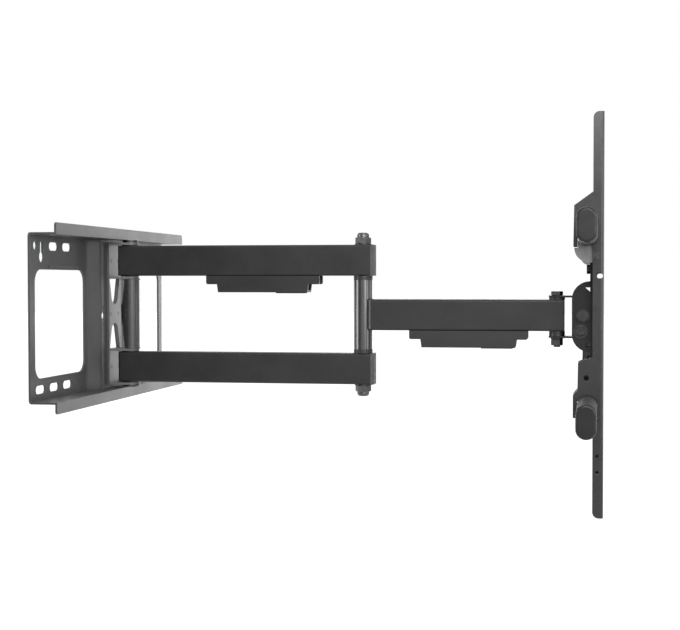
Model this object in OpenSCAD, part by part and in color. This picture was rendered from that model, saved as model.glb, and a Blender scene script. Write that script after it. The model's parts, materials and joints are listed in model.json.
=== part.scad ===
// Full motion television wall mount.
// Origin: centre of the wall plate's back face. +X points away from the wall, +Z up, millimetres.

/* [Wall plate] */
// Width of the wall plate
plate_w = 472; // [450:2:500]
// Depth of the plate's top and bottom flanges
flange_depth = 35; // [30:1:35]
// Height of the lips that turn outward from the flanges
lip_h = 11.4; // [6:0.2:20]

/* [Arms] */
// Wall pivot to elbow, centre to centre
arm1_len = 314; // [257:1:380]
// Elbow to head pivot, centre to centre
arm2_len = 249; // [213:1:310]
// Height of each arm beam
beam_h = 40; // [33:0.5:48]
// Width of each arm beam
beam_w = 24; // [20:0.5:26]
// Free height between the two beams of the first arm
beam_gap = 100; // [95:1:120]

/* [Television frame] */
// Length of the two horizontal rails over their end caps
rail_len = 644; // [500:2:800]
// Centre distance of the two rails
rail_span = 203; // [195:1:254]
// Spacing of the television hole pattern, both ways
vesa = 400; // [360:10:480]

/* [Hidden] */
$fn = 48;
eps = 0.01;
// gap between parts that turn on each other, end to end and round a shaft
end_gap = 0.1;
run_gap = 0.05;
// gap round a part that is pressed into another
press_gap = 0.02;
m6_r = 3;
m6_hex = 10;
m6_head_t = 4;
m8_hex = 13;
m8_head_t = 5.3;
m12_hex = 18;

// wall plate
sheet = 2.5;
wing_corner = 5;
lip_corner = 3.5;
raise_x = 11.5;
raise_top = 42;
raise_foot = 64;
raise_a = atan2(raise_x, raise_foot - raise_top);
bend_r = 14;
pin_x = 39;
pin_r = 6;
pin_head_r = 10;
pin_end_gap = 0.3;
pin_ring_t = 1.2;
pin_ring_r = 9;
pin_groove_r = pin_r - 0.7;
pin_washer_r = 12;
pin_washer_t = 1.3;
ear_t = 3;
flange_in = beam_gap / 2 + beam_h + 7.5;
flange_out = flange_in + sheet;
slot_z = flange_in - 12.5;
slot_cols = [for (inset = [110, 69.5, 29]) plate_w / 2 - inset];
slot_len = 28;
slot_w = 10;
window_y = [69, plate_w / 2 - 14];
window_z = [-72, 57];
window_r = 16;
rib_z = 60.5;
rib_len = 100;
rib_w = 4;
rib_h = 1.5;
rib_y = window_y[0] + 65;
wing_hole = [plate_w / 2 - 16, slot_z];
wing_hole_r = 5.5;
wing_key = [plate_w / 2 - 34, slot_z - 13];
wing_key_r = 7;
wing_key_neck = 4;
wing_key_rise = 15;
mid_key = [34, -2];
mid_key_r = 5.5;
mid_key_neck = 3;
mid_key_rise = 10;

// wall pivot bracket, formed from one sheet that lies on the raised centre of the plate
web_x = raise_x + sheet;
web_front = web_x + ear_t;
ear_w = 36;
ear_tip_r = 11.5;
ear_taper = 3;
ear_reach = pin_x - web_front;
tab_len = ear_reach + ear_tip_r;
ear_top = beam_gap / 2 + beam_h + 1;
ear_mid = beam_gap / 2 - 1;
ear_window_gap = 0.8;
web_w = ear_w + 4;
pin_ring_z = -ear_top - ear_t - pin_washer_t - pin_ring_t;
mount_screws = [[-12, 70], [12, 70], [-14, 0], [14, 0], [-12, -70], [12, -70]];
mount_head_r = 5.5;
mount_head_t = 3.5;

// arms
beam_wall = 2;
beam_corner = 3;
elbow_x = pin_x + arm1_len;
head_x = elbow_x + arm2_len;
beam_top = beam_gap / 2 + beam_h;
beam_mid = beam_gap / 2 + beam_h / 2;
wall_cap_t = 2.5;
wall_tail = 13.4;
elbow_cap_t = 4;
elbow_tail = 15.4;
head_tail = 9.4;
head_cap_t = 1.6;
cap_plug = 3;
head_plug = 2;
plug_wall = 1.5;
tube_r = 12.2;
tube_bore = 9.2;
beam2_x = elbow_x + 9.5;
beam2_edge = 1.8;
weld = [[1, 7], [1, 10.4], [-1, 9.8], [-2.2, 9], [-2.2, 7]];
bush_r = 7;
bush_flange_r = 11;
bush_flange_t = 0.9;
bush_len = 12;
spacer_r = 8;
head_bush_r = 5.2;
collar_h = 5.2;
collar_plug = 15;
washer_t = 1.6;
nut_hex_h = 8;
nut_dome_r = 7.8;
nut_dome_h = 6;
nut_dome_edge = 3.6;
elbow_bolt_half = beam_top + washer_t + nut_hex_h;

// cable clips
clip_len = 151;
clip_low_len = 119;
clip_step = 11;
clip_drop = 21.5;
clip_base_t = 2.5;
clip_bore_w = 17;
clip_wall = 2.5;
clip_corner = 2.5;
clip_slant = 1.5;
clip_tongue = [16, 56];
clip_tongue_half = 6;
clip_tongue_t = 1.2;
clip_base_in = [3, 3.5];
clip_base_corner = 2;
clip_screw_off = 68;
clip_screw_r = 1.5;
clip_head_r = 2.8;
clip_head_t = 1.6;
clip1_x = elbow_x - 131;
clip2_x = head_x - 112;

// head
head_pin_r = 4;
head_bush_t = 2.5;
head_bush_len = 14;
head_nut_t = 8;
head_washer_r = 8;
thrust_t = 3.4;
yoke_t = 2.5;
yoke_top = beam_h / 2 + head_bush_t + end_gap;
yoke_low = -beam_h / 2 - head_bush_t - end_gap - thrust_t;
yoke_r = 10.5;
yoke_back_x = head_x + 20;
yoke_y = 17;
head_bolt_low = yoke_low - yoke_t - washer_t - head_nut_t;
head_bolt_len = yoke_top + yoke_t - head_bolt_low + 2;
tilt_x = head_x + 33;
tilt_r = 4;
tilt_nut_t = 7;
tilt_washer_r = 8.5;
ear_nose_r = 8;
// yoke ear, from the tilt bolt: foot, shoulder, nose, and the drop of its top below the yoke
ear_foot = 2;
ear_shoulder = 6;
ear_nose = [ear_nose_r - 0.6, 2.6];
ear_drop = 3;
guide_at = [-3, -19.5];
guide_x = tilt_x + guide_at[0];
guide_r = norm(guide_at);
guide_a = atan2(guide_at[1], guide_at[0]);
guide_slot_w = 2 * m6_r + 0.6;
guide_over = 2;
guide_nut_t = 5;
guide_washer_r = 9;
guide_washer_t = 1.2;
cheek_y = 18;
cheek_t = 2.5;
cheek_out = cheek_y + cheek_t + end_gap;
cheek_x = head_x + 19;
cheek_z = [-45.5, 43];
// reliefs at the ends of the cheeks' bends: depth, inner and outer distance from the cheek's middle
relief = [[6, 31.5, 37.5], [6.5, 30.5, 36.5]];
tilt_web_corner = 6;
tilt_web_x = head_x + 41.5;
tilt_web_t = 3;
tilt_web_z = 68;
tilt_back = 5;
tilt_forward = 15;
pad_r = 7.5;
pad_t = 0.9;

// television frame
level_r = 5;
level_z = 58;
level_turn = 3;
level_slot_len = 2 * level_z * sin(level_turn + 1) + 2 * m6_r;
level_slot_w = 2 * m6_r + 0.6;
level_head_r = 8;
level_head_t = 1.6;
level_nut_t = 4.5;
centre_x = tilt_web_x + tilt_web_t + end_gap;
centre_t = 3;
centre_y = 80;
// windows beside the middle: offset, half width, half height, corner
centre_window = [48, 18, 48, 10];
level_out = centre_x + centre_t;
rail_x = head_x + 40;
rail_d = 22;
rail_h = 37;
rail_wall = 2;
rail_z = rail_span / 2;
rail_low = rail_z - rail_h / 2;
rail_back = rail_x - rail_d / 2 + 3;
rail_cap_t = 4;
rail_cap_edge = 3;
rail_plug = 10;
rail_half = rail_len / 2 - rail_cap_t;
rail_bolt_ys = [-60, 0, 60];
rail_bolt_x = rail_x - 3;
rail_bolt_len = centre_t + rail_wall + 5;

// television brackets
bracket_y = vesa / 2;
tv_x = head_x + 58;
bracket_back_x = head_x + 46;
bracket_half = 16;
bracket_t = 2.5;
bracket_z = [-vesa / 2 - 19, vesa / 2 + 30];
bracket_corner = 7;
bracket_bend = 3.5;
bracket_side_x = tv_x - bracket_bend;
tv_hole_r = 4.5;
tv_hole_zs = [for (f = [-1, -0.75, -0.5, -0.25, 0.25, 0.5, 0.75, 1]) f * vesa / 2];
tv_slot = [24, 7];
tv_slot_zs = [for (f = [-0.875, -0.375, 0.375, 0.875]) f * vesa / 2];
hook_x = rail_x - rail_d / 2 - 4.6;
hook_tip = 4.2;
hook_clear = 0.4;
hook_way = rail_h / 2 + 3;
// corners of the two hooks, heights from the rail's middle
upper_hook = [[bracket_back_x + 1, 40.5], [bracket_back_x, 40.5], [hook_x + 0.8, 25.5], [hook_x, -20],
              [hook_x + hook_tip, -20], [bracket_back_x + 1, 0]];
lower_hook = [[bracket_back_x + 1, 61], [bracket_back_x, 61], [hook_x + 5.5, 55], [hook_x + 5, 25],
              [hook_x, 19], [hook_x, -6.5], [hook_x + hook_tip, -6.5], [bracket_back_x + 1, 0]];
cable_slot = [8, 7];
cable_slot_at = [bracket_back_x + 7.4, 50];
tool_hole_at = [bracket_back_x - 7, 38 - rail_z];
tool_hole_r = 3;
tie_hole_x = bracket_back_x + 5;
tie_hole_zs = [-150, -168];
tie_hole_r = 2;
latch_half = 12;
latch_top = rail_low - 2.8;
latch_pin_r = 2.5;
latch_pin = [tv_x - 8, rail_z - 30];
latch_pin_head_r = 4;
latch_nose_r = 16;
latch_boss_r = 5;
latch_back = 4.5;
// saddle that follows the rail: both ends, and the height of each above the rail's underside
saddle_x = [rail_x - rail_d / 2 + 0.2, latch_pin[0] - 1];
saddle_up = [7, 0.8];
spring_wire = 0.3;
spring_turns = 2;

steel_black = [0.16, 0.16, 0.17];
steel_grey = [0.34, 0.34, 0.35];
plastic_black = [0.10, 0.10, 0.11];
zinc = [0.60, 0.60, 0.62];
latch_grey = [0.30, 0.30, 0.31];

// ---------- helpers ----------

// Extrudes a Y-Z outline along X
module along_x(x0, x1) {
    translate([x0, 0, 0]) rotate([90, 0, 90]) linear_extrude(x1 - x0) children();
}

// Extrudes an X-Z outline along Y
module along_y(y0, y1) {
    translate([0, y1, 0]) rotate([90, 0, 0]) linear_extrude(y1 - y0) children();
}

// Extrudes an X-Y outline along Z
module along_z(z0, z1) {
    translate([0, 0, z0]) linear_extrude(z1 - z0) children();
}

// Copies to both sides of the plane Z = 0
module top_and_bottom() {
    children();
    mirror([0, 0, 1]) children();
}

// Copies to both sides of the plane Y = 0
module both_sides() {
    children();
    mirror([0, 1, 0]) children();
}

// Copies a flat outline and its mirror image across an axis
module and_mirror(axis) {
    children();
    mirror(axis) children();
}

// Rectangle between two corners with round corners
module round_box(low, high, r) {
    translate([low[0] + r, low[1]]) square([high[0] - low[0] - 2 * r, high[1] - low[1]]);
    translate([low[0], low[1] + r]) square([high[0] - low[0], high[1] - low[1] - 2 * r]);
    for (x = [low[0] + r, high[0] - r], y = [low[1] + r, high[1] - r])
        translate([x, y]) circle(r);
}

// What a round of radius r takes off a corner at the origin
module corner_tip(r) difference() {
    translate([-1, -1]) square(r + 1);
    translate([r, r]) circle(r);
}

// Upright cylinder between two heights
module cylinder_at(x, y, z0, z1, r) {
    translate([x, y, z0]) cylinder(z1 - z0, r = r);
}

// Slot with round ends, lying along the first axis
module slot(length, width) {
    square([length - width, width], center = true);
    for (x = [-1, 1])
        translate([x * (length - width) / 2, 0]) circle(width / 2);
}

// Right half of a disc's section, its upper rim rounded
module rounded_half(half, t, edge) {
    square([half, t - edge]);
    square([half - edge, t]);
    translate([half - edge, t - edge]) intersection() {
        circle(edge);
        square(edge);
    }
}

// Flat ring standing on Z = z0
module ring(z0, t, outer, inner) {
    along_z(z0, z0 + t)
        difference() {
            circle(outer);
            circle(inner);
        }
}

// Hexagon prism given its width across the flats, its corners bevelled at both ends
module hex(flats, t) {
    face_r = flats / 2 * 0.98;
    corner_r = flats / sqrt(3);
    bevel = (corner_r - face_r) * tan(30);
    intersection() {
        cylinder(t, r = corner_r, $fn = 6);
        rotate_extrude()
            polygon([[0, 0], [face_r, 0], [corner_r, bevel], [corner_r, t - bevel], [face_r, t], [0, t]]);
    }
}

// Bolt along +Z: head below Z = 0, shank above
module hex_bolt(r, length, flats, head_t) {
    cylinder(length, r = r);
    translate([0, 0, -head_t]) hex(flats, head_t);
}

// Nut standing on Z = 0
module hex_nut(r, flats, t) {
    difference() {
        hex(flats, t);
        translate([0, 0, -eps]) cylinder(t + 2 * eps, r = r);
    }
}

// ---------- wall unit ----------

// Outline of one ear: wide at the root, round at the tip, root edge on X = 0
module ear_outline(grow = 0) {
    waist = sqrt(pow(ear_tip_r, 2) - pow(ear_taper, 2));
    translate([ear_reach, 0]) circle(ear_tip_r + grow);
    polygon([[0, -ear_w / 2 - grow], [0, ear_w / 2 + grow],
             [ear_reach + ear_taper, waist + grow], [ear_reach + ear_taper, -waist - grow]]);
}

// Openings that the middle ears leave in the sheet they are bent from
module ear_windows(grow) {
    for (s = [-1, 1])
        translate([0, s * (ear_mid - ear_t)]) rotate(-s * 90) ear_outline(grow);
}

// Sliver between a bend of the plate's line and the arc that rounds it
module bend_tip() {
    reach = bend_r * tan(raise_a / 2);
    difference() {
        polygon([[0, 0], [0, reach], [bend_r, reach], reach * [sin(raise_a), -cos(raise_a)]]);
        translate([bend_r, reach]) circle(bend_r);
    }
}

// Space in front of the plate's line in plan, from x out to far
module ahead_of_plate(x, half, far) difference() {
    union() {
        polygon([[x, -half], [x, -raise_foot], [raise_x + x, -raise_top], [raise_x + x, raise_top],
                 [x, raise_foot], [x, half], [far, half], [far, -half]]);
        and_mirror([0, 1]) translate([raise_x + x, raise_top]) rotate(180) bend_tip();
    }
    and_mirror([0, 1]) translate([x, raise_foot]) bend_tip();
}

// Keyhole: slot above, round hole below
module keyhole(hole_r, slot_r, rise) {
    circle(hole_r);
    translate([-slot_r, 0]) square([2 * slot_r, rise]);
    translate([0, rise]) circle(slot_r);
}

// Holes of one wing, drawn in Y-Z
module wing_holes() {
    round_box([window_y[0], window_z[0]], [window_y[1], window_z[1]], window_r);
    for (y = slot_cols)
        translate([y, -slot_z]) slot(slot_len, slot_w);
    for (y = [slot_cols[0], slot_cols[1]])
        translate([y, slot_z]) slot(slot_len, slot_w);
    translate(wing_key) keyhole(wing_key_r, wing_key_neck, wing_key_rise);
    translate(wing_hole) circle(wing_hole_r);
}

module wall_plate() color(steel_grey) difference() {
    union() {
        along_z(-flange_out, flange_out) difference() {
            ahead_of_plate(0, plate_w / 2, pin_x);
            ahead_of_plate(sheet, plate_w / 2 + 1, pin_x + 1);
        }
        top_and_bottom() {
            along_z(flange_in, flange_out) ahead_of_plate(0, plate_w / 2, flange_depth);
            along_x(flange_depth - sheet, flange_depth) lip_outline();
        }
        both_sides() along_x(sheet / 2, sheet + rib_h)
            translate([rib_y, rib_z]) slot(rib_len, rib_w);
    }
    along_x(-eps, raise_x + sheet + eps) {
        and_mirror([1, 0]) wing_holes();
        ear_windows(ear_window_gap);
        and_mirror([1, 0]) translate(mid_key) keyhole(mid_key_r, mid_key_neck, mid_key_rise);
        for (s = mount_screws)
            translate(s) circle(m6_r + 0.2);
    }
    along_x(-eps, sheet)
        and_mirror([1, 0]) and_mirror([0, 1])
            translate([-plate_w / 2, -flange_out]) corner_tip(wing_corner);
}

// Lip with rounded outer corners, standing on the flange
module lip_outline() {
    half = plate_w / 2;
    translate([-half, flange_in]) square([2 * half, sheet + lip_h - lip_corner]);
    translate([-half + lip_corner, flange_in]) square([2 * (half - lip_corner), sheet + lip_h]);
    for (y = [-half + lip_corner, half - lip_corner])
        translate([y, flange_out + lip_h - lip_corner]) circle(lip_corner);
}

module pivot_bracket() color(steel_black) {
    difference() {
        union() {
            along_x(web_x, web_front)
                square([web_w, 2 * ear_top + 2 * ear_t], center = true);
            top_and_bottom() {
                along_z(ear_top, ear_top + ear_t) translate([web_front, 0]) ear_outline();
                along_z(ear_mid - ear_t, ear_mid) translate([web_front, 0]) ear_outline();
            }
        }
        along_x(web_x - eps, web_front + eps) {
            ear_windows(0);
            for (s = mount_screws)
                translate(s) circle(m6_r);
        }
        cylinder_at(pin_x, 0, -ear_top - 2 * ear_t, ear_top + 2 * ear_t, pin_r + run_gap);
    }
}

module pivot_bracket_screws() color(steel_black) {
    for (s = mount_screws)
        translate([raise_x, s[0], s[1]]) rotate([0, 90, 0]) {
            cylinder(web_front - raise_x, r = m6_r);
            translate([0, 0, -mount_head_t]) cylinder(mount_head_t, r = mount_head_r);
        }
}

module wall_tube() color(steel_grey)
    translate([pin_x, 0, 0]) ring(ear_t - ear_mid, 2 * (ear_mid - ear_t), tube_r, tube_bore);

module wall_pin() color(zinc) translate([pin_x, 0, 0])
    difference() {
        union() {
            cylinder_at(0, 0, pin_end_gap - flange_in, ear_top + ear_t, pin_r);
            cylinder_at(0, 0, ear_top + ear_t, flange_in - pin_end_gap, pin_head_r);
        }
        ring(pin_ring_z, pin_ring_t, pin_r + 1, pin_groove_r);
    }

module wall_pin_washer() color(zinc) translate([pin_x, 0, 0])
    ring(-ear_top - ear_t - pin_washer_t, pin_washer_t, pin_washer_r, pin_r + run_gap);

// Retaining ring with an open side, in the pin's groove
module wall_pin_ring() color(zinc) translate([pin_x, 0, 0])
    difference() {
        ring(pin_ring_z, pin_ring_t, pin_ring_r, pin_groove_r);
        translate([0, -pin_r / 2, pin_ring_z - 1]) cube([pin_r + pin_ring_r, pin_r, pin_ring_t + 2]);
    }

// ---------- first arm ----------

// Rectangular tube with round corners, lying along X
module beam_tube(x0, x1, z) {
    translate([0, 0, z]) along_x(x0, x1)
        difference() {
            beam_outline(0);
            beam_outline(beam_wall);
        }
}

module beam_outline(inset) {
    half = [beam_w / 2 - inset, beam_h / 2 - inset];
    round_box(-half, half, beam_corner - inset * 0.6);
}

// Plug that closes a beam's end: flange outside, plug inside; dir is -1 or 1 along X
module beam_cap(x, z, t, dir, plug = cap_plug) {
    out = [min(0, dir * t), max(0, dir * t)];
    in = [min(0, -dir * plug), max(0, -dir * plug)];
    translate([x, 0, z]) {
        along_x(in[0], in[1])
            difference() {
                beam_outline(beam_wall + press_gap);
                beam_outline(beam_wall + plug_wall);
            }
        // the flange's upright edges are rounded
        along_z(-beam_h / 2, beam_h / 2)
            intersection() {
                round_box([min(out[0], -dir * t), -beam_w / 2], [max(out[1], -dir * t), beam_w / 2],
                          min(t, beam_corner) - 0.01);
                translate([out[0], -beam_w / 2]) square([out[1] - out[0], beam_w]);
            }
    }
}

module first_beam(z) difference() {
    beam_tube(pin_x - wall_tail + wall_cap_t, elbow_x + elbow_tail - elbow_cap_t, z);
    cylinder_at(pin_x, 0, z - beam_h, z + beam_h, bush_r + press_gap);
    cylinder_at(elbow_x, 0, z - beam_h, z + beam_h, pin_r + run_gap);
    if (z > 0)
        clip_screw_holes(clip1_x, beam_gap / 2);
}

module upper_beam() color(steel_black) first_beam(beam_mid);
module lower_beam() color(steel_black) first_beam(-beam_mid);

module wall_end_caps() color(plastic_black)
    for (z = [-beam_mid, beam_mid])
        beam_cap(pin_x - wall_tail + wall_cap_t, z, wall_cap_t, -1);

module elbow_end_caps() color(plastic_black)
    for (z = [-beam_mid, beam_mid])
        beam_cap(elbow_x + elbow_tail - elbow_cap_t, z, elbow_cap_t, 1);

// Flanged bush for the wall pin, flange face on Z = 0, spigot above
module wall_bush() difference() {
    union() {
        cylinder(bush_flange_t, r = bush_flange_r);
        cylinder(bush_flange_t + bush_len, r = bush_r);
    }
    translate([0, 0, -eps]) cylinder(bush_len + 2, r = pin_r + run_gap);
}

module wall_bushes() color(plastic_black) translate([pin_x, 0, 0])
    top_and_bottom() {
        translate([0, 0, beam_gap / 2 - bush_flange_t]) wall_bush();
        translate([0, 0, beam_top + bush_flange_t]) mirror([0, 0, 1]) wall_bush();
    }

module elbow_spacers() color(zinc) translate([elbow_x, 0, 0])
    for (z = [-beam_mid, beam_mid])
        ring(z - beam_h / 2 + beam_wall, beam_h - 2 * beam_wall, spacer_r, pin_r + run_gap);

module elbow_bolt() color(zinc)
    cylinder_at(elbow_x, 0, -elbow_bolt_half, elbow_bolt_half, pin_r);

module elbow_washers() color(zinc) translate([elbow_x, 0, 0])
    top_and_bottom() ring(beam_top, washer_t, bush_flange_r, pin_r + run_gap);

// Cap nut with a low round-edged crown, standing on Z = 0
module cap_nut() difference() {
    union() {
        hex(m12_hex, nut_hex_h);
        translate([0, 0, nut_hex_h]) rotate_extrude() rounded_half(nut_dome_r, nut_dome_h, nut_dome_edge);
    }
    translate([0, 0, -eps]) cylinder(nut_hex_h + eps, r = pin_r + run_gap);
}

module elbow_cap_nuts() color(steel_grey)
    top_and_bottom() translate([elbow_x, 0, beam_top + washer_t]) cap_nut();

// ---------- cable clips ----------

// Screw holes up into a beam's lower wall
module clip_screw_holes(x, z) {
    for (s = [-1, 1])
        cylinder_at(x + s * clip_screw_off, 0, z - 1, z + beam_wall + 1, clip_screw_r);
}

// Strip under the beam that the cover snaps on to
module clip_base(x, z) difference() {
    half = [clip_len / 2 - clip_base_in[0], beam_w / 2 - clip_base_in[1]];
    along_z(z - clip_base_t, z)
        translate([x, 0]) round_box(-half, half, clip_base_corner);
    for (s = [-1, 1])
        cylinder_at(x + s * clip_screw_off, 0, z - clip_base_t - 1, z + 1, clip_screw_r + run_gap);
}

module clip_screws(x, z) {
    for (s = [-1, 1])
        translate([x + s * clip_screw_off, 0, z - clip_base_t]) {
            cylinder(clip_base_t + beam_wall + 2, r = clip_screw_r);
            translate([0, 0, -clip_head_t]) cylinder(clip_head_t, r = clip_head_r);
        }
}

// Stepped cover, open at both ends so that cables pass along it
module cable_cover(x, z) {
    difference() {
        union() {
            along_y(-beam_w / 2, beam_w / 2)
                cover_side(x, z);
            along_z(z - clip_drop - clip_tongue_t, z - clip_drop)
                round_box([x + clip_tongue[0], -clip_tongue_half], [x + clip_tongue[1], clip_tongue_half],
                          clip_base_corner);
        }
        translate([x - clip_len, -clip_bore_w / 2, z - clip_drop + clip_wall])
            cube([2 * clip_len, clip_bore_w, clip_drop - clip_wall + 1]);
    }
}

// Side view of the cover: a wide upper step and a narrower lower one
module cover_side(x, z) {
    half = clip_len / 2;
    low = clip_low_len / 2;
    round_box([x - half, z - clip_step], [x + half, z], clip_corner);
    translate([x - half, z - clip_step / 2]) square([clip_len, clip_step / 2]);
    polygon([[x - low - clip_slant, z - clip_step + eps], [x + low + clip_slant, z - clip_step + eps],
             [x + low, z - clip_drop], [x - low, z - clip_drop]]);
}

module first_clip_base() color(plastic_black) clip_base(clip1_x, beam_gap / 2);
module first_cable_cover() color(plastic_black) cable_cover(clip1_x, beam_gap / 2);
module first_clip_screws() color(zinc) clip_screws(clip1_x, beam_gap / 2);

// ---------- second arm ----------

module elbow_tube() color(steel_grey) translate([elbow_x, 0, 0])
    ring(collar_h + end_gap - beam_gap / 2, beam_gap - 2 * collar_h - 2 * end_gap, tube_r, tube_bore);

module elbow_collars() color(plastic_black) translate([elbow_x, 0, 0])
    top_and_bottom() difference() {
        union() {
            cylinder_at(0, 0, beam_gap / 2 - end_gap - collar_h, beam_gap / 2 - end_gap, tube_r);
            cylinder_at(0, 0, beam_gap / 2 - collar_h - collar_plug, beam_gap / 2 - end_gap,
                        tube_bore - press_gap);
        }
        cylinder_at(0, 0, 0, beam_gap, pin_r + run_gap);
    }

module second_beam() color(steel_black) difference() {
    union() {
        beam_tube(beam2_x, head_x + head_tail - head_cap_t, 0);
        // weld beads between the tube and the beam's side walls
        both_sides() along_z(-beam_h / 2 + beam_corner, beam_h / 2 - beam_corner)
            translate([beam2_x, 0]) polygon(weld);
    }
    cylinder_at(elbow_x, 0, -beam_h, beam_h, tube_r);
    both_sides() along_z(-beam_h, beam_h)
        translate([beam2_x, -beam_w / 2]) corner_tip(beam2_edge);
    cylinder_at(head_x, 0, -beam_h, beam_h, head_bush_r + press_gap);
    clip_screw_holes(clip2_x, -beam_h / 2);
}

module second_end_cap() color(plastic_black)
    beam_cap(head_x + head_tail - head_cap_t, 0, head_cap_t, 1, head_plug);

// Flanged bush for the head bolt
module head_bushes() color(plastic_black) translate([head_x, 0, 0])
    top_and_bottom() difference() {
        union() {
            cylinder_at(0, 0, beam_h / 2, beam_h / 2 + head_bush_t, yoke_r - 0.5);
            cylinder_at(0, 0, beam_h / 2 - head_bush_len, beam_h / 2 + head_bush_t, head_bush_r);
        }
        cylinder_at(0, 0, 0, beam_h, head_pin_r + run_gap);
    }

module second_clip_base() color(plastic_black) clip_base(clip2_x, -beam_h / 2);
module second_cable_cover() color(plastic_black) cable_cover(clip2_x, -beam_h / 2);
module second_clip_screws() color(zinc) clip_screws(clip2_x, -beam_h / 2);

// ---------- swivel head ----------

// Top or bottom plate of the yoke, in plan
module yoke_plate() {
    translate([head_x, 0]) circle(yoke_r);
    translate([head_x, -yoke_r]) square([yoke_back_x - head_x + yoke_t, 2 * yoke_r]);
}

// Side ear of the yoke, seen along Y
module yoke_ear() translate([tilt_x, 0]) {
    back = yoke_back_x - tilt_x;
    circle(ear_nose_r);
    polygon([[back, yoke_low + ear_foot], [guide_at[0] + 2, yoke_low + ear_foot],
             [0, yoke_low + ear_shoulder], [ear_nose[0], -ear_nose[1]], ear_nose,
             [-2, yoke_top - ear_drop], [back, yoke_top - ear_drop]]);
}

module swivel_yoke() color(steel_black) difference() {
    union() {
        along_z(yoke_top, yoke_top + yoke_t) yoke_plate();
        along_z(yoke_low - yoke_t, yoke_low) yoke_plate();
        along_x(yoke_back_x, yoke_back_x + yoke_t) {
            polygon([[-yoke_y, yoke_low + ear_foot], [yoke_y, yoke_low + ear_foot],
                     [yoke_y, yoke_top - ear_drop], [yoke_r, yoke_top + yoke_t],
                     [-yoke_r, yoke_top + yoke_t], [-yoke_y, yoke_top - ear_drop]]);
            translate([-yoke_r, yoke_low - yoke_t]) square([2 * yoke_r, 4 * yoke_t]);
        }
        both_sides() along_y(yoke_y - yoke_t, yoke_y) yoke_ear();
    }
    cylinder_at(head_x, 0, 2 * yoke_low, 2 * yoke_top, head_pin_r + run_gap);
    cross_hole(tilt_x, 0, tilt_r + run_gap);
    cross_hole(guide_x, guide_at[1], m6_r + run_gap);
}

// Hole along Y through both sides
module cross_hole(x, z, r) {
    translate([x, 2 * cheek_y, z]) rotate([90, 0, 0]) cylinder(4 * cheek_y, r = r);
}

module head_bolt() color(zinc) translate([head_x, 0, yoke_top + yoke_t]) mirror([0, 0, 1])
    hex_bolt(head_pin_r, head_bolt_len, m8_hex, m8_head_t);

module head_thrust_washer() color(zinc)
    translate([head_x, 0, 0]) ring(yoke_low, thrust_t, yoke_r - 0.5, head_pin_r + run_gap);

module head_washer() color(zinc) translate([head_x, 0, 0])
    ring(yoke_low - yoke_t - washer_t, washer_t, head_washer_r, head_pin_r + run_gap);

module head_nut() color(zinc)
    translate([head_x, 0, head_bolt_low]) hex_nut(head_pin_r + run_gap, m8_hex, head_nut_t);

// Places a bolt, washer or nut on a cross hole: side -1 is the head's side, 1 the nut's side
module on_cheek(x, z, side) {
    translate([x, side * cheek_out, z]) rotate([-side * 90, 0, 0]) children();
}

module tilt_bolt() color(zinc)
    on_cheek(tilt_x, 0, -1) translate([0, 0, washer_t]) mirror([0, 0, 1])
        hex_bolt(tilt_r, 2 * (cheek_out + washer_t) + tilt_nut_t + 1, m8_hex, m8_head_t);

module tilt_washers() color(zinc)
    for (side = [-1, 1])
        on_cheek(tilt_x, 0, side) ring(0, washer_t, tilt_washer_r, tilt_r + run_gap);

module tilt_nut() color(zinc)
    on_cheek(tilt_x, 0, 1) translate([0, 0, washer_t]) hex_nut(tilt_r + run_gap, m8_hex, tilt_nut_t);

module friction_pads() color(plastic_black)
    both_sides() translate([tilt_x, yoke_y, 0]) rotate([-90, 0, 0])
        ring(0, pad_t, pad_r, tilt_r + run_gap);

module guide_bolt() color(zinc)
    on_cheek(guide_x, guide_at[1], -1) translate([0, 0, guide_washer_t]) mirror([0, 0, 1])
        hex_bolt(m6_r, 2 * (cheek_out + guide_washer_t) + guide_nut_t + 1, m6_hex, m6_head_t);

module guide_washers() color(zinc)
    for (side = [-1, 1])
        on_cheek(guide_x, guide_at[1], side) ring(0, guide_washer_t, guide_washer_r, m6_r + run_gap);

module guide_nut() color(zinc)
    on_cheek(guide_x, guide_at[1], 1) translate([0, 0, guide_washer_t])
        hex_nut(m6_r + run_gap, m6_hex, guide_nut_t);

// ---------- tilt head ----------

// D-shaped cheek seen along Y
module cheek_outline() {
    r = tilt_web_x - cheek_x;
    intersection() {
        union() {
            for (z = [cheek_z[0] + r, cheek_z[1] - r])
                translate([tilt_web_x, z]) circle(r);
            translate([cheek_x, cheek_z[0] + r]) square([2 * r, cheek_z[1] - cheek_z[0] - 2 * r]);
        }
        translate([cheek_x, cheek_z[0]]) square([r + tilt_web_t / 2, cheek_z[1] - cheek_z[0]]);
    }
}

// Arc slot round a centre: radius, width and the angles of its two ends
module arc_slot(radius, width, a0, a1) {
    intersection() {
        difference() {
            circle(radius + width / 2);
            circle(radius - width / 2);
        }
        polygon([[0, 0], for (a = [a0, (a0 + a1) / 2, a1]) 2 * radius * [cos(a), sin(a)]]);
    }
    for (a = [a0, a1])
        rotate(a) translate([radius, 0]) circle(width / 2 - 0.05);
}

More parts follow.
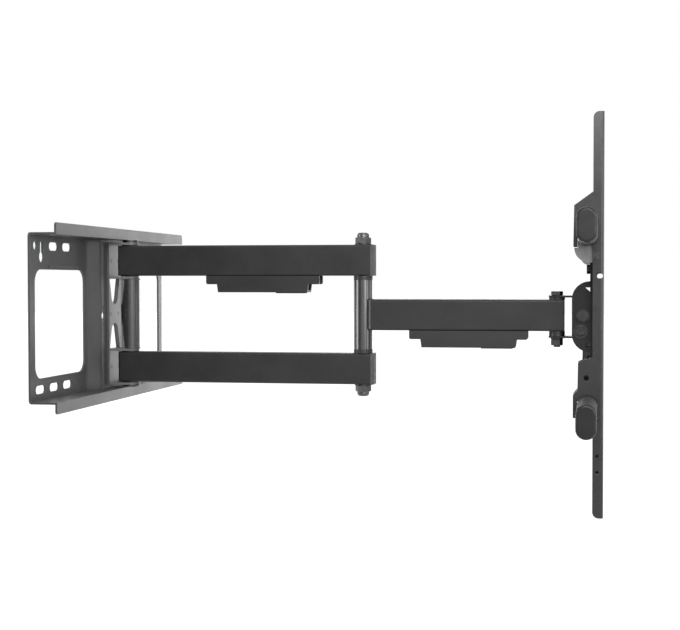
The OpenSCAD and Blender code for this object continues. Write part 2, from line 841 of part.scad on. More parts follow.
module tilt_bracket() color(steel_black) difference() {
    union() {
        along_x(tilt_web_x, tilt_web_x + tilt_web_t)
            round_box([-cheek_y - cheek_t, -tilt_web_z], [cheek_y + cheek_t, tilt_web_z], tilt_web_corner);
        both_sides() along_y(cheek_y, cheek_y + cheek_t) difference() {
            cheek_outline();
            translate([tilt_x, 0]) {
                circle(tilt_r + run_gap);
                arc_slot(guide_r, guide_slot_w, guide_a - tilt_back - guide_over,
                         guide_a + tilt_forward + guide_over);
            }
            for (s = [0, 1])
                translate([tilt_web_x, (cheek_z[0] + cheek_z[1]) / 2]) cheek_relief(relief[s], 2 * s - 1);
        }
    }
    along_x(tilt_web_x - 1, centre_x) {
        circle(level_r + run_gap);
        for (s = [-1, 1])
            translate([0, s * level_z]) circle(m6_r + run_gap);
    }
}

// Three-cornered relief at the end of a cheek's bend, side 1 above and -1 below
module cheek_relief(size, side) {
    polygon([[-size[0], side * size[2]], [0.2, side * size[1]], [0.2, side * size[2]]]);
}

module level_pivot() color(zinc) translate([tilt_web_x, 0, 0]) rotate([0, 90, 0]) {
    front = level_out + end_gap - tilt_web_x;
    cylinder(front, r = level_r);
    translate([0, 0, -level_head_t]) cylinder(level_head_t, r = level_head_r);
    translate([0, 0, front]) cylinder(level_head_t, r = level_head_r);
}

module level_screws() color(zinc)
    for (s = [-1, 1])
        translate([tilt_web_x, 0, s * level_z]) rotate([0, 90, 0])
            hex_bolt(m6_r, level_out - tilt_web_x + level_nut_t + 1.5, m6_hex, level_nut_t);

module level_nuts() color(zinc)
    for (s = [-1, 1])
        translate([level_out + end_gap, 0, s * level_z]) rotate([0, 90, 0])
            hex_nut(m6_r + run_gap, m6_hex, level_nut_t);

// ---------- television frame ----------

module centre_plate() color(steel_black) difference() {
    union() {
        along_x(centre_x, level_out)
            square([2 * centre_y, 2 * rail_low], center = true);
        top_and_bottom() along_z(rail_low - centre_t, rail_low)
            translate([rail_back, -centre_y]) square([level_out - rail_back, 2 * centre_y]);
    }
    along_x(centre_x - eps, level_out + eps) {
        circle(level_r + run_gap);
        for (s = [-1, 1])
            translate([0, s * level_z]) slot(level_slot_len, level_slot_w);
        and_mirror([1, 0]) translate([centre_window[0], 0])
            round_box([-centre_window[1], -centre_window[2]], [centre_window[1], centre_window[2]],
                      centre_window[3]);
    }
    rail_bolt_holes();
}

// Clearance holes for the bolts that hold the rails to the centre plate
module rail_bolt_holes() {
    for (y = rail_bolt_ys, s = [-1, 1])
        cylinder_at(rail_bolt_x, y, s * rail_low - 5, s * rail_low + 5, m6_r + run_gap);
}

// Oval rail section with an inset, centred on a rail, seen along Y
module rail_outline(inset) {
    round_box([-rail_d / 2 + inset, -rail_h / 2 + inset], [rail_d / 2 - inset, rail_h / 2 - inset],
              rail_d / 2 - inset - 0.5);
}

module rail(z) difference() {
    along_y(-rail_half, rail_half) translate([rail_x, z])
        difference() {
            rail_outline(0);
            rail_outline(rail_wall);
        }
    rail_bolt_holes();
}

module upper_rail() color(steel_black) rail(rail_z);
module lower_rail() color(steel_black) rail(-rail_z);

// End cap of a rail: a rounded-rim pill outside, a plug inside the rail
module rail_cap() {
    straight = (rail_h - rail_d) / 2;
    along_y(-rail_plug, 0) difference() {
        rail_outline(rail_wall + press_gap);
        rail_outline(rail_wall + plug_wall);
    }
    along_z(-straight, straight)
        and_mirror([1, 0]) rounded_half(rail_d / 2, rail_cap_t, rail_cap_edge);
    for (z = [-straight, straight])
        translate([0, 0, z]) rotate([-90, 0, 0])
            rotate_extrude() rounded_half(rail_d / 2, rail_cap_t, rail_cap_edge);
}

module rail_end_caps() color(plastic_black)
    both_sides() for (z = [-rail_z, rail_z])
        translate([rail_x, rail_half, z]) rail_cap();

module rail_bolts() color(zinc)
    top_and_bottom() for (y = rail_bolt_ys)
        translate([rail_bolt_x, y, rail_low - centre_t])
            hex_bolt(m6_r, rail_bolt_len, m6_hex, m6_head_t);

// ---------- television brackets ----------

// Side wall of a bracket with both hooks, seen along Y
module bracket_side() difference() {
    union() {
        translate([bracket_back_x, bracket_z[0]])
            square([bracket_side_x - bracket_back_x, bracket_z[1] - bracket_z[0]]);
        translate([0, rail_z]) polygon(upper_hook);
        translate([0, -rail_z]) polygon(lower_hook);
    }
    // rails and the way in to them
    for (z = [-rail_z, rail_z])
        translate([rail_x, z]) {
            rail_outline(-hook_clear);
            translate([-rail_d / 2 - hook_clear, -hook_way])
                square([rail_d / 2 + hook_clear + bracket_back_x - rail_x, hook_way]);
        }
    translate([bracket_back_x, bracket_z[0]]) corner_tip(bracket_corner);
    translate([bracket_back_x, bracket_z[1]]) rotate(-90) corner_tip(bracket_corner);
}

// Front web of a bracket and its two bends, in plan
module bracket_front() difference() {
    round_box([bracket_back_x, -bracket_half], [tv_x, bracket_half], bracket_bend);
    round_box([bracket_back_x - 1, bracket_t - bracket_half], [tv_x - bracket_t, bracket_half - bracket_t],
              bracket_bend - bracket_t);
    translate([bracket_back_x - 1, -bracket_half - 1])
        square([bracket_side_x - bracket_back_x + 0.5, 2 * bracket_half + 2]);
}

// Holes that pass through both side walls
module bracket_cross_holes() {
    translate(cable_slot_at) slot(cable_slot[0], cable_slot[1]);
    for (z = tie_hole_zs)
        translate([tie_hole_x, z]) circle(tie_hole_r);
    translate(latch_pin) circle(latch_pin_r + run_gap);
}

module tv_bracket(y) translate([0, y, 0]) difference() {
    union() {
        both_sides() along_y(bracket_half - bracket_t, bracket_half) bracket_side();
        along_z(bracket_z[0], bracket_z[1]) bracket_front();
    }
    along_y(-bracket_half - 1, bracket_half + 1) bracket_cross_holes();
    along_y(-bracket_half - 1, 0) translate(tool_hole_at) circle(tool_hole_r);
    along_x(tv_x - 2 * bracket_t, tv_x + 1) {
        for (z = tv_hole_zs)
            translate([0, z]) circle(tv_hole_r);
        for (z = tv_slot_zs)
            translate([0, z]) rotate(90) slot(tv_slot[0], tv_slot[1]);
    }
}

// Latch under the upper rail, its nose rounded towards the wall
module latch(y) difference() {
    along_y(y - latch_half, y + latch_half) latch_body();
    along_y(y - latch_half - 1, y + latch_half + 1)
        translate(latch_pin) circle(latch_pin_r + run_gap);
}

module latch_body() {
    nose_x = hook_x + 1 + latch_nose_r;
    neck_x = latch_pin[0] - latch_back;
    intersection() {
        translate([nose_x, latch_top]) circle(latch_nose_r);
        translate([hook_x, latch_top - latch_nose_r]) square([latch_nose_r + 2, latch_nose_r]);
    }
    difference() {
        polygon([[nose_x, latch_top - latch_nose_r], [neck_x, latch_top - latch_nose_r],
                 [neck_x, latch_pin[1] - latch_boss_r], [latch_pin[0], latch_pin[1] - latch_boss_r],
                 [saddle_x[1], latch_pin[1]], [saddle_x[1], rail_low + saddle_up[1]],
                 [rail_x, rail_low + saddle_up[1]], [rail_x, rail_low + saddle_up[0]],
                 [saddle_x[0], rail_low + saddle_up[0]], [saddle_x[0], latch_top - 2],
                 [nose_x, latch_top - 2]]);
        translate([rail_x, rail_z]) rail_outline(-hook_clear);
    }
    translate(latch_pin) circle(latch_boss_r);
}

module latch_pin_at(y)
    translate([latch_pin[0], y + bracket_half + 1, latch_pin[1]]) rotate([90, 0, 0]) {
        cylinder(2 * bracket_half + 2, r = latch_pin_r);
        cylinder(1, r = latch_pin_head_r);
        translate([0, 0, 2 * bracket_half + 1]) cylinder(1, r = latch_pin_head_r);
    }

// Coiled spring round the pin, between the latch and the bracket's far wall
module latch_spring(y) {
    translate([latch_pin[0], y + latch_half + end_gap, latch_pin[1]]) rotate([-90, 0, 0])
        for (turn = [0:spring_turns - 1])
            translate([0, 0, spring_wire + run_gap + turn * 1.8 * spring_wire]) rotate_extrude()
                translate([latch_pin_r + end_gap + spring_wire, 0]) circle(spring_wire, $fn = 16);
}

module left_tv_bracket() color(steel_grey) tv_bracket(-bracket_y);
module left_latch() color(latch_grey) latch(-bracket_y);
module left_latch_pin() color(steel_black) latch_pin_at(-bracket_y);
module left_latch_spring() color(zinc) latch_spring(-bracket_y);
module right_tv_bracket() color(steel_grey) tv_bracket(bracket_y);
module right_latch() color(latch_grey) latch(bracket_y);
module right_latch_pin() color(steel_black) latch_pin_at(bracket_y);
module right_latch_spring() color(zinc) latch_spring(bracket_y);

wall_plate();
pivot_bracket();
pivot_bracket_screws();
wall_tube();
wall_pin();
wall_pin_washer();
wall_pin_ring();
upper_beam();
lower_beam();
wall_end_caps();
elbow_end_caps();
wall_bushes();
elbow_spacers();
elbow_bolt();
elbow_washers();
elbow_cap_nuts();
first_clip_base();
first_cable_cover();
first_clip_screws();
elbow_tube();
elbow_collars();
second_beam();
second_end_cap();
head_bushes();
second_clip_base();
second_cable_cover();
second_clip_screws();
swivel_yoke();
head_bolt();
head_thrust_washer();
head_washer();
head_nut();
tilt_bolt();
tilt_washers();
tilt_nut();
friction_pads();
guide_bolt();
guide_washers();
guide_nut();
tilt_bracket();
level_pivot();
level_screws();
level_nuts();
centre_plate();
upper_rail();
lower_rail();
rail_end_caps();
rail_bolts();
left_tv_bracket();
left_latch();
left_latch_pin();
left_latch_spring();
right_tv_bracket();
right_latch();
right_latch_pin();
right_latch_spring();
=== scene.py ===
# Full motion television wall mount: looks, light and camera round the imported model. Metres.
import json
import math

import bmesh
import bpy
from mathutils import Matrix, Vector

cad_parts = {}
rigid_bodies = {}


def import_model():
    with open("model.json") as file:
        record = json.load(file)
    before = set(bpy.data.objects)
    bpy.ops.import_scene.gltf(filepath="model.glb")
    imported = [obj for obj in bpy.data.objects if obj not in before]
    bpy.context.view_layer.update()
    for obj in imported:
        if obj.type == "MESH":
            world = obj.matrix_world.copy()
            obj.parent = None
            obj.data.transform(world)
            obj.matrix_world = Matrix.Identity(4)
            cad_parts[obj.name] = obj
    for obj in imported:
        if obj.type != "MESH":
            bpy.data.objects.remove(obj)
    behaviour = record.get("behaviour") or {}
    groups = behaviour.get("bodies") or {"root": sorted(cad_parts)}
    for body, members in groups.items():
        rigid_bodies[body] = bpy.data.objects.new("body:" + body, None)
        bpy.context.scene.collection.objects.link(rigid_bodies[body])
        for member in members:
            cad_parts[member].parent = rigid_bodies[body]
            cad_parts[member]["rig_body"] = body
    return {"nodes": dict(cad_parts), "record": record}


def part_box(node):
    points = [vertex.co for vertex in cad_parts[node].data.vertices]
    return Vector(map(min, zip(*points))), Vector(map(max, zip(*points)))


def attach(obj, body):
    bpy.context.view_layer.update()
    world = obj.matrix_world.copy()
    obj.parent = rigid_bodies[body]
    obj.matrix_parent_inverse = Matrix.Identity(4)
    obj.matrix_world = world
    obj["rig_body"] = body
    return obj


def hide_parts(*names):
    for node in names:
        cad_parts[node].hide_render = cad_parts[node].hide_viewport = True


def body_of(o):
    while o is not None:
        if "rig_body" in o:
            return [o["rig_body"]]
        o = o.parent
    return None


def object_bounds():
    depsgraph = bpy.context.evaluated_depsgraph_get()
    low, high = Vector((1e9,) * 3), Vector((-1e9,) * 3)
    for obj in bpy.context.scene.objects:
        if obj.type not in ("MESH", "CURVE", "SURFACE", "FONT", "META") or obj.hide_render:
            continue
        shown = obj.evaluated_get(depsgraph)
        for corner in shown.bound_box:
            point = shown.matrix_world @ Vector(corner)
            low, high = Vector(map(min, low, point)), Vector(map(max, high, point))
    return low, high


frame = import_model()
cad_box = [list(corner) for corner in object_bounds()]
NODES = frame["nodes"]
MM = 0.001


# ---------------------------------------------------------------- node helpers
class Net:
    """One material's node tree, with short calls for the nodes used here."""

    def __init__(self, name):
        self.material = bpy.data.materials.new(name)
        self.material.use_nodes = True
        self.tree = self.material.node_tree
        self.tree.nodes.clear()
        self.out = self.tree.nodes.new("ShaderNodeOutputMaterial")
        self.shader = self.tree.nodes.new("ShaderNodeBsdfPrincipled")
        self.link(self.shader.outputs[0], self.out.inputs["Surface"])
        self.coords = self.tree.nodes.new("ShaderNodeTexCoord").outputs["Object"]

    def link(self, source, target):
        self.tree.links.new(source, target)

    def set(self, target, value):
        if isinstance(value, bpy.types.NodeSocket):
            self.link(value, target)
        else:
            target.default_value = value

    def noise(self, size, detail=3.0, rough=0.5, stretch=None):
        """Noise whose grains are about size metres across."""
        n = self.tree.nodes.new("ShaderNodeTexNoise")
        n.inputs["Scale"].default_value = 1.0 / size
        n.inputs["Detail"].default_value = detail
        n.inputs["Roughness"].default_value = rough
        vector = self.coords
        if stretch:
            m = self.tree.nodes.new("ShaderNodeMapping")
            m.inputs["Scale"].default_value = stretch
            self.link(self.coords, m.inputs["Vector"])
            vector = m.outputs[0]
        self.link(vector, n.inputs["Vector"])
        return n.outputs["Fac"]

    def grains(self, size):
        """Cell distance, for a stippled moulding."""
        n = self.tree.nodes.new("ShaderNodeTexVoronoi")
        n.inputs["Scale"].default_value = 1.0 / size
        self.link(self.coords, n.inputs["Vector"])
        return n.outputs["Distance"]

    def span(self, value, low, high, to_low=0.0, to_high=1.0):
        n = self.tree.nodes.new("ShaderNodeMapRange")
        n.clamp = True
        for name, v in (("From Min", low), ("From Max", high), ("To Min", to_low), ("To Max", to_high)):
            n.inputs[name].default_value = v
        self.link(value, n.inputs["Value"])
        return n.outputs[0]

    def math(self, operation, a, b):
        n = self.tree.nodes.new("ShaderNodeMath")
        n.operation = operation
        self.set(n.inputs[0], a)
        self.set(n.inputs[1], b)
        return n.outputs[0]

    def mix(self, factor, a, b):
        n = self.tree.nodes.new("ShaderNodeMix")
        n.data_type = "RGBA"
        self.set(n.inputs["Factor"], factor)
        self.set(n.inputs[6], a)
        self.set(n.inputs[7], b)
        return n.outputs[2]

    def bevel(self, radius):
        n = self.tree.nodes.new("ShaderNodeBevel")
        n.samples = 6
        n.inputs["Radius"].default_value = radius
        return n.outputs[0]

    def edges(self, rounded):
        """1 on sharp edges, 0 on flats, from how far the rounded normal turns."""
        g = self.tree.nodes.new("ShaderNodeNewGeometry")
        d = self.tree.nodes.new("ShaderNodeVectorMath")
        d.operation = "DOT_PRODUCT"
        self.link(rounded, d.inputs[0])
        self.link(g.outputs["Normal"], d.inputs[1])
        return self.span(d.outputs["Value"], 0.98, 0.80)

    def bump(self, height, distance, strength=1.0, normal=None):
        n = self.tree.nodes.new("ShaderNodeBump")
        n.inputs["Strength"].default_value = strength
        n.inputs["Distance"].default_value = distance
        self.link(height, n.inputs["Height"])
        if normal is not None:
            self.link(normal, n.inputs["Normal"])
        return n.outputs[0]

    def surface(self, **sockets):
        for name, value in sockets.items():
            self.set(self.shader.inputs[name.replace("_", " ")], value)
        return self.material


def grey(v, tint=1.03):
    return (v, v, v * tint, 1.0)


def powder_coat(name, tone, rough, round_mm=0.5, wear=0.35, peel=0.06, gloss=0.5):
    """Sprayed and baked powder: fine grain, orange peel, cloudy tone, and paler rubbed edges."""
    n = Net(name)
    rounded = n.bevel(round_mm * MM)
    edge = n.edges(rounded)
    cloud = n.noise(60 * MM, 4, 0.6)
    speck = n.noise(0.9 * MM, 2, 0.6)
    orange = n.noise(2.6 * MM, 2, 0.45)
    rub = n.math("MULTIPLY", edge, n.span(n.noise(9 * MM, 4, 0.7), 0.42, 0.72))
    base = n.mix(n.span(cloud, 0.35, 0.65), grey(tone * 0.86), grey(tone * 1.12))
    base = n.mix(n.span(speck, 0.55, 0.75, 0.0, 0.45), base, grey(tone * 1.9))
    base = n.mix(n.math("MULTIPLY", rub, wear), base, grey(min(1.0, tone * 3.6 + 0.03)))
    roughness = n.math("ADD", n.span(cloud, 0.3, 0.7, rough - 0.05, rough + 0.05),
                       n.span(speck, 0.35, 0.65, -0.05, 0.06))
    normal = n.bump(speck, 0.03 * MM, 0.8, n.bump(orange, peel * MM, 0.7, rounded))
    return n.surface(Base_Color=base, Roughness=roughness, Normal=normal, Metallic=0.0, IOR=1.5,
                     Specular_IOR_Level=gloss)


def enamel(name, tone, rough, round_mm=0.4):
    """Smoother, glossier paint on drawn tube."""
    n = Net(name)
    rounded = n.bevel(round_mm * MM)
    cloud = n.noise(25 * MM, 4, 0.6)
    drawn = n.noise(1.4 * MM, 3, 0.5, (1.0, 1.0, 0.06))
    base = n.mix(n.span(cloud, 0.35, 0.65), grey(tone * 0.85), grey(tone * 1.15))
    roughness = n.span(drawn, 0.3, 0.7, rough - 0.05, rough + 0.07)
    normal = n.bump(drawn, 0.03 * MM, 0.6, rounded)
    return n.surface(Base_Color=base, Roughness=roughness, Normal=normal, Metallic=0.0,
                     IOR=1.5, Specular_IOR_Level=0.3, Coat_Weight=1.0, Coat_Roughness=0.15)


def plated(name, tone, rough, round_mm=0.35, streak=(1.0, 1.0, 1.0), tint=1.02):
    """Plated steel: cloudy plate, fine machining marks, brighter edges."""
    n = Net(name)
    rounded = n.bevel(round_mm * MM)
    edge = n.edges(rounded)
    cloud = n.noise(4 * MM, 4, 0.6)
    marks = n.noise(0.35 * MM, 2, 0.5, streak)
    base = n.mix(n.span(cloud, 0.3, 0.7), grey(tone * 0.75, tint), grey(min(1.0, tone * 1.2), tint))
    base = n.mix(n.math("MULTIPLY", edge, 0.45), base, grey(min(1.0, tone * 1.8 + 0.06), tint))
    roughness = n.span(marks, 0.3, 0.7, rough - 0.07, rough + 0.1)
    normal = n.bump(marks, 0.02 * MM, 0.7, rounded)
    return n.surface(Base_Color=base, Roughness=roughness, Normal=normal, Metallic=1.0)


def moulding(name, tone, rough, round_mm=0.6, stipple=0.7, depth=0.05, spec=0.5):
    """Injection moulded plastic: stippled skin, faint flow marks, softened edges."""
    n = Net(name)
    rounded = n.bevel(round_mm * MM)
    edge = n.edges(rounded)
    flow = n.noise(30 * MM, 3, 0.5, (0.35, 1.0, 1.0))
    dots = n.grains(stipple * MM)
    base = n.mix(n.span(flow, 0.35, 0.65), grey(tone * 0.9), grey(tone * 1.12))
    base = n.mix(n.math("MULTIPLY", edge, 0.3), base, grey(tone * 2.2))
    roughness = n.math("ADD", n.span(flow, 0.35, 0.65, rough - 0.04, rough + 0.04),
                       n.span(dots, 0.1, 0.7, 0.05, -0.04))
    normal = n.bump(dots, depth * MM, 0.6, rounded)
    return n.surface(Base_Color=base, Roughness=roughness, Normal=normal, Metallic=0.0,
                     IOR=1.47, Specular_IOR_Level=spec)


# ---------------------------------------------------------------- materials on the CAD nodes
ARM = powder_coat("arm_powder", 0.018, 0.40, 0.7, gloss=0.25)
PLATE = powder_coat("plate_powder", 0.038, 0.42, 0.5, 0.5)
BRACKET = powder_coat("bracket_powder", 0.022, 0.27, 0.5, 0.5, gloss=0.26)
HEAD = powder_coat("head_powder", 0.013, 0.46, 0.4, gloss=0.2)
RAIL = powder_coat("rail_powder", 0.022, 0.62, 0.7, gloss=0.16)
NUT = plated("nut_zinc", 0.09, 0.34)
BRACE = powder_coat("brace_powder", 0.060, 0.42, 0.5, 0.45)
TUBE = enamel("tube_enamel", 0.022, 0.34)
PIVOT = powder_coat("pivot_powder", 0.020, 0.30, gloss=0.5)
BLACK_ZINC = plated("black_zinc", 0.042, 0.42)
ZINC = plated("bright_zinc", 0.58, 0.30, tint=1.03)
WIRE = plated("spring_wire", 0.50, 0.28, 0.1)
PLASTIC = moulding("black_moulding", 0.018, 0.44, spec=0.3)
CAP = moulding("cap_moulding", 0.012, 0.34, 0.9, 0.9, 0.04, spec=0.22)
ELBOW_CAP = moulding("elbow_cap_moulding", 0.075, 0.62, 0.9, 0.9, 0.04, spec=0.12)
WELD = powder_coat("weld_powder", 0.07, 0.30, 0.3, 0.2, 0.03)
LATCH = moulding("latch_moulding", 0.16, 0.42, 0.8, 0.8, 0.04)

COATS = {
    "wall_plate": PLATE, "pivot_bracket": BRACE,
    "upper_beam": ARM, "lower_beam": ARM, "second_beam": ARM,
    "upper_rail": RAIL, "lower_rail": RAIL, "elbow_cap_nuts": NUT,
    "swivel_yoke": HEAD, "tilt_bracket": HEAD, "centre_plate": HEAD,
    "left_tv_bracket": BRACKET, "right_tv_bracket": BRACKET,
    "wall_tube": PIVOT, "elbow_tube": TUBE,
    "rail_end_caps": CAP, "elbow_end_caps": ELBOW_CAP, "wall_end_caps": CAP,
    "left_latch": LATCH, "right_latch": LATCH,
}
SLOT_COATS = {"black_zinc": BLACK_ZINC, "zinc": ZINC, "spring_steel": WIRE, "plastic": PLASTIC}
node_slot = {s["node"]: s["material_slot"] for s in frame["record"]["subparts"]}
for name, piece in NODES.items():
    piece.data.materials.clear()
    piece.data.materials.append(COATS.get(name) or SLOT_COATS[node_slot[name]])


# ---------------------------------------------------------------- detail pieces
def sweep(bm, path, radius, sides=10):
    """A round bar along a list of points, closed at both ends.

    radius is a number, or a function of the step along the path.
    """
    rings = []
    turns = [2 * math.pi * k / sides for k in range(sides)]
    side = None
    for i, point in enumerate(path):
        ahead = (path[min(i + 1, len(path) - 1)] - path[max(i - 1, 0)]).normalized()
        if side is None:
            side = ahead.orthogonal().normalized()
        side = (side - ahead * side.dot(ahead)).normalized()
        across = ahead.cross(side)
        r = radius(i) if callable(radius) else radius
        rings.append([bm.verts.new(point + r * (math.cos(a) * side + math.sin(a) * across))
                      for a in turns])
    for one, two in zip(rings, rings[1:]):
        for k in range(sides):
            bm.faces.new((one[k], one[(k + 1) % sides], two[(k + 1) % sides], two[k]))
    bm.faces.new(rings[0][::-1])
    bm.faces.new(rings[-1])


def finished(name, bm, material, body):
    bmesh.ops.recalc_face_normals(bm, faces=bm.faces)
    for face in bm.faces:
        face.smooth = True
    mesh = bpy.data.meshes.new(name)
    bm.to_mesh(mesh)
    bm.free()
    mesh.materials.append(material)
    piece = bpy.data.objects.new(name, mesh)
    bpy.context.scene.collection.objects.link(piece)
    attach(piece, body)
    return piece


def rippled(thick, ripple, steps):
    """Radius of a weld bead: overlapping scales, steps points to each."""
    return lambda i: thick - ripple * ((i % steps) / steps)


def weld_line(bm, x, y, z_low, z_high, thick=1.6 * MM):
    count = int((z_high - z_low) / (0.4 * MM))
    path = [Vector((x, y + 0.12 * MM * math.sin(1.7 * i), z_low + (z_high - z_low) * i / count))
            for i in range(count + 1)]
    sweep(bm, path, rippled(thick, 0.3 * MM, 5), 8)


def weld_ring(bm, middle, radius, thick=0.8 * MM):
    count = int(2 * math.pi * radius / (0.6 * MM))
    path = [middle + radius * Vector((math.cos(a), math.sin(a), 0.0))
            for a in (2 * math.pi * i / count for i in range(count + 1))]
    sweep(bm, path, rippled(thick, 0.22 * MM, 4), 8)


def coil(middle, axis, radius, pitch, turns, steps=28):
    """Points of a helix round an axis that starts at middle."""
    one = axis.orthogonal().normalized()
    two = axis.cross(one)
    return [middle + radius * (math.cos(a) * one + math.sin(a) * two) + axis * pitch * a / (2 * math.pi)
            for a in (2 * math.pi * i / steps for i in range(int(turns * steps) + 1))]


# Where the weld beads lie: on the elbow tube's flank, beside the second beam's end
WELD_BEAD_X = 10.4 * MM
WELD_BEAD_Y = 11.3 * MM
WELD_END_GAP = 1.5 * MM
RING_INSET = 0.3 * MM
SPRING_WIRE_R = 0.26 * MM
SPRING_TURNS = 1.75
THREAD_PITCH = 0.55 * MM
THREAD_R = 0.2 * MM
HEAD_BOLT_R = 4.0 * MM
HEAD_BOLT_END = 2.0 * MM


def middle_of(node):
    a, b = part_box(node)
    return (Vector(a) + Vector(b)) / 2


def size_of(node):
    a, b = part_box(node)
    return Vector(b) - Vector(a)


def elbow_welds():
    """Beads between the elbow tube and the second beam, and round both ends of the wall tube."""
    tube = middle_of("elbow_tube")
    beam_low, beam_high = (Vector(c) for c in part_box("second_beam"))
    bm = bmesh.new()
    for side in (-1, 1):
        weld_line(bm, tube.x + WELD_BEAD_X, side * WELD_BEAD_Y,
                  beam_low.z + WELD_END_GAP, beam_high.z - WELD_END_GAP)
    finished("elbow_weld", bm, WELD, "second_arm")
    wall = middle_of("wall_tube")
    half = size_of("wall_tube") / 2
    bm = bmesh.new()
    for side in (-1, 1):
        weld_ring(bm, Vector((wall.x, wall.y, wall.z + side * (half.z - RING_INSET))), half.x)
    finished("wall_tube_weld", bm, PLATE, "wall_unit")


def latch_springs():
    """A wound spring with two legs on each latch pin."""
    for name in ("left", "right"):
        node = name + "_latch_spring"
        low_corner, high_corner = (Vector(c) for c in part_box(node))
        radius = (high_corner.x - low_corner.x) / 2 - SPRING_WIRE_R
        start = Vector((middle_of(node).x, low_corner.y + SPRING_WIRE_R, middle_of(node).z))
        path = coil(start, Vector((0.0, 1.0, 0.0)), radius, 2 * SPRING_WIRE_R, SPRING_TURNS, 36)

        def leg(end, reaches):
            """Straight wire from an end of the coil: up, or back where the coil ends over the pin."""
            way = Vector((-1.0, 0.0, 0.0)) if abs(end.x - start.x) < radius / 2 else Vector((0.0, 0.0, 1.0))
            return [end + way * d * MM for d in reaches]

        bm = bmesh.new()
        sweep(bm, leg(path[0], (7.0, 4.5, 2.0)) + path + leg(path[-1], (2.5, 6.0, 9.0)), SPRING_WIRE_R)
        body = body_of(NODES[node])[0]
        piece = finished(name + "_spring", bm, WIRE, body)
        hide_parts(node)


def head_bolt_thread():
    """Ridges on the end of the head bolt that shows below its nut."""
    middle = middle_of("head_bolt")
    start = Vector((middle.x, middle.y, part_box("head_bolt")[0][2] + 0.25 * MM))
    turns = (HEAD_BOLT_END - 0.4 * MM) / THREAD_PITCH
    bm = bmesh.new()
    sweep(bm, coil(start, Vector((0.0, 0.0, 1.0)), HEAD_BOLT_R, THREAD_PITCH, turns, 32), THREAD_R, 6)
    finished("head_bolt_thread", bm, BLACK_ZINC, "swivel_head")


elbow_welds()
latch_springs()
head_bolt_thread()


# ---------------------------------------------------------------- stage, light, camera
low, high = (Vector(c) for c in cad_box)
centre = (low + high) / 2
FLOOR_DROP = 0.55
# The floor's own glow: its level under the object, where it is dimmed as a painted shadow, and the distances
# where it starts to rise and is full
GLOW_IN_PAINTED_SHADE = 0.52
GLOW_FROM = 0.5
GLOW_FULL = 1.35
WORLD_FILL = 0.30
floor_z = low.z - FLOOR_DROP


def seen_directly(t):
    """1 for rays from the camera, a mirror or glass, 0 for rays that carry light to the object."""
    path = t.nodes.new("ShaderNodeLightPath")
    value = path.outputs["Is Camera Ray"]
    for kind in ("Is Glossy Ray", "Is Transmission Ray"):
        total = t.nodes.new("ShaderNodeMath")
        total.operation = "ADD"
        total.use_clamp = True
        t.links.new(value, total.inputs[0])
        t.links.new(path.outputs[kind], total.inputs[1])
        value = total.outputs[0]
    return value


def backdrop_floor():
    bm = bmesh.new()
    bmesh.ops.create_grid(bm, x_segments=1, y_segments=1, size=30.0)
    mesh = bpy.data.meshes.new("floor")
    bm.to_mesh(mesh)
    bm.free()
    floor = bpy.data.objects.new("floor", mesh)
    floor.location = (centre.x, centre.y, floor_z)
    bpy.context.scene.collection.objects.link(floor)
    m = bpy.data.materials.new("floor_pale")
    m.use_nodes = True
    t = m.node_tree
    t.nodes.clear()
    out = t.nodes.new("ShaderNodeOutputMaterial")
    matte = t.nodes.new("ShaderNodeBsdfDiffuse")
    matte.inputs["Color"].default_value = (0.50, 0.50, 0.50, 1.0)
    glow = t.nodes.new("ShaderNodeEmission")
    seen = seen_directly(t)
    # the glow grows with distance from the object: dimmed round the object as a painted shadow, and full
    # further out so that the floor runs into the backdrop with no line
    coords = t.nodes.new("ShaderNodeTexCoord")
    reach = t.nodes.new("ShaderNodeVectorMath")
    reach.operation = "LENGTH"
    t.links.new(coords.outputs["Object"], reach.inputs[0])
    # painted shadow: the floor's glow is lowest under the object and rises to full with distance
    painted_shade_falloff = t.nodes.new("ShaderNodeMapRange")
    painted_shade_falloff.interpolation_type = "SMOOTHSTEP"
    for name, v in (("From Min", GLOW_FROM), ("From Max", GLOW_FULL), ("To Min", GLOW_IN_PAINTED_SHADE), ("To Max", 1.0)):
        painted_shade_falloff.inputs[name].default_value = v
    t.links.new(reach.outputs["Value"], painted_shade_falloff.inputs["Value"])
    lift = t.nodes.new("ShaderNodeMath")
    lift.operation = "MULTIPLY"
    t.links.new(seen, lift.inputs[0])
    t.links.new(painted_shade_falloff.outputs[0], lift.inputs[1])
    t.links.new(lift.outputs[0], glow.inputs["Strength"])
    both = t.nodes.new("ShaderNodeAddShader")
    t.links.new(matte.outputs[0], both.inputs[0])
    t.links.new(glow.outputs[0], both.inputs[1])
    t.links.new(both.outputs[0], out.inputs["Surface"])
    mesh.materials.append(m)


def studio_world():
    world = bpy.data.worlds.new("studio")
    world.use_nodes = True
    bpy.context.scene.world = world
    t = world.node_tree
    t.nodes.clear()
    out = t.nodes.new("ShaderNodeOutputWorld")
    white = t.nodes.new("ShaderNodeBackground")
    white.inputs["Color"].default_value = (1.0, 1.0, 1.0, 1.0)
    white.inputs["Strength"].default_value = 1.0
    fill = t.nodes.new("ShaderNodeBackground")
    fill.inputs["Color"].default_value = (1.0, 1.0, 1.0, 1.0)
    fill.inputs["Strength"].default_value = WORLD_FILL
    pick = t.nodes.new("ShaderNodeMixShader")
    t.links.new(seen_directly(t), pick.inputs[0])
    t.links.new(fill.outputs[0], pick.inputs[1])
    t.links.new(white.outputs[0], pick.inputs[2])
    t.links.new(pick.outputs[0], out.inputs["Surface"])


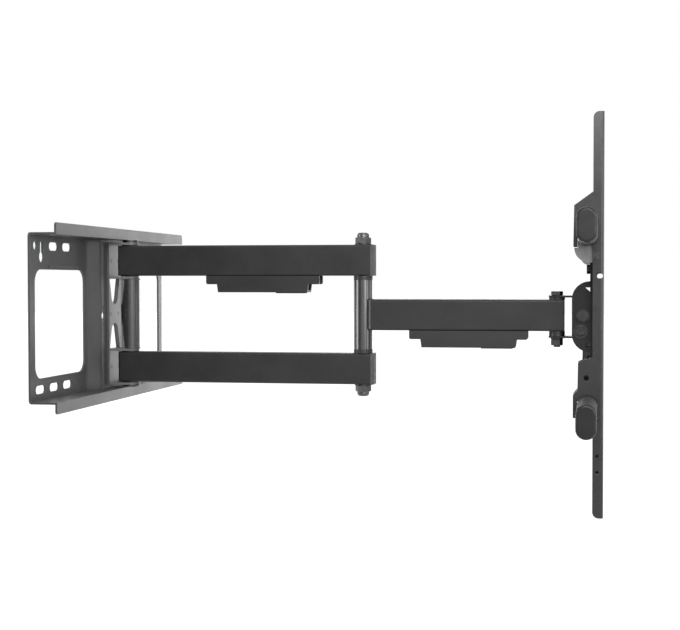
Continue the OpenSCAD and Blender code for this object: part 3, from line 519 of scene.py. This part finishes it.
def lit(name, place, size, radiance):
    """A softbox aimed at the object, as bright all over as a white card of that radiance."""
    data = bpy.data.lights.new(name, "AREA")
    data.shape = "RECTANGLE"
    data.size, data.size_y = size
    data.energy = radiance * math.pi * size[0] * size[1]
    lamp = bpy.data.objects.new(name, data)
    lamp.location = place
    lamp.rotation_mode = "QUATERNION"
    lamp.rotation_quaternion = (centre - place).to_track_quat("-Z", "Y")
    lamp.visible_camera = False
    bpy.context.scene.collection.objects.link(lamp)


def beam_from(angle, distance, height):
    """A place round the object: angle in degrees from the camera's side, positive towards +X."""
    a = math.radians(angle)
    return centre + Vector((math.sin(a) * distance, -math.cos(a) * distance, height))


def flag(name, place, size, material):
    """A black card out of the camera's view, which keeps light and reflections off the wall side."""
    bm = bmesh.new()
    bmesh.ops.create_grid(bm, x_segments=1, y_segments=1, size=0.5)
    mesh = bpy.data.meshes.new(name)
    bm.to_mesh(mesh)
    bm.free()
    mesh.materials.append(material)
    card = bpy.data.objects.new(name, mesh)
    card.location = place
    card.scale = (size[0], size[1], 1.0)
    card.rotation_mode = "QUATERNION"
    card.rotation_quaternion = (centre - place).to_track_quat("Z", "Y")
    bpy.context.scene.collection.objects.link(card)
    card.visible_camera = False


def felt():
    n = Net("flag_felt")
    return n.surface(Base_Color=grey(0.01), Roughness=n.span(n.noise(3 * MM), 0.3, 0.7, 0.85, 1.0))


backdrop_floor()
studio_world()
lit("top", centre + Vector((0.1, 0.0, 2.2)), (1.1, 0.9), 5.0)
lit("front_key", beam_from(13, 1.8, 0.68), (0.7, 0.5), 20.0)
lit("near_right", beam_from(37, 2.2, 0.45), (0.9, 1.0), 8.0)
lit("right_65", beam_from(66, 1.9, 0.4), (0.3, 1.2), 7.0)
lit("side_right", beam_from(98, 1.9, 0.15), (0.5, 1.0), 6.5)
lit("left_front", beam_from(-70, 2.1, 0.35), (1.1, 1.2), 7.5)
lit("far_right", beam_from(180, 2.2, 0.2), (0.7, 1.4), 4.0)
flag("left_flag", beam_from(-33, 1.6, 0.0), (0.85, 1.5), felt())

# The camera stands level with the arm and looks across it, a little back towards the wall
scene = bpy.context.scene
camera_data = bpy.data.cameras.new("camera")
camera = bpy.data.objects.new("camera", camera_data)
scene.collection.objects.link(camera)
scene.camera = camera
FRAME_W = 680
CAMERA_AT = Vector((0.656, -1.7085, 0.0451))
CAMERA_YAW = 0.1523
CAMERA_PITCH = -0.0264
FOCAL_PX = 1341.2
camera_data.sensor_width = 36.0
camera_data.lens = FOCAL_PX / FRAME_W * camera_data.sensor_width
camera_data.shift_x = -0.08
camera.location = CAMERA_AT
aim = Vector((-math.sin(CAMERA_YAW) * math.cos(CAMERA_PITCH),
              math.cos(CAMERA_YAW) * math.cos(CAMERA_PITCH), math.sin(CAMERA_PITCH)))
camera.rotation_mode = "QUATERNION"
camera.rotation_quaternion = aim.to_track_quat("-Z", "Y")
scene.view_settings.view_transform = "Standard"
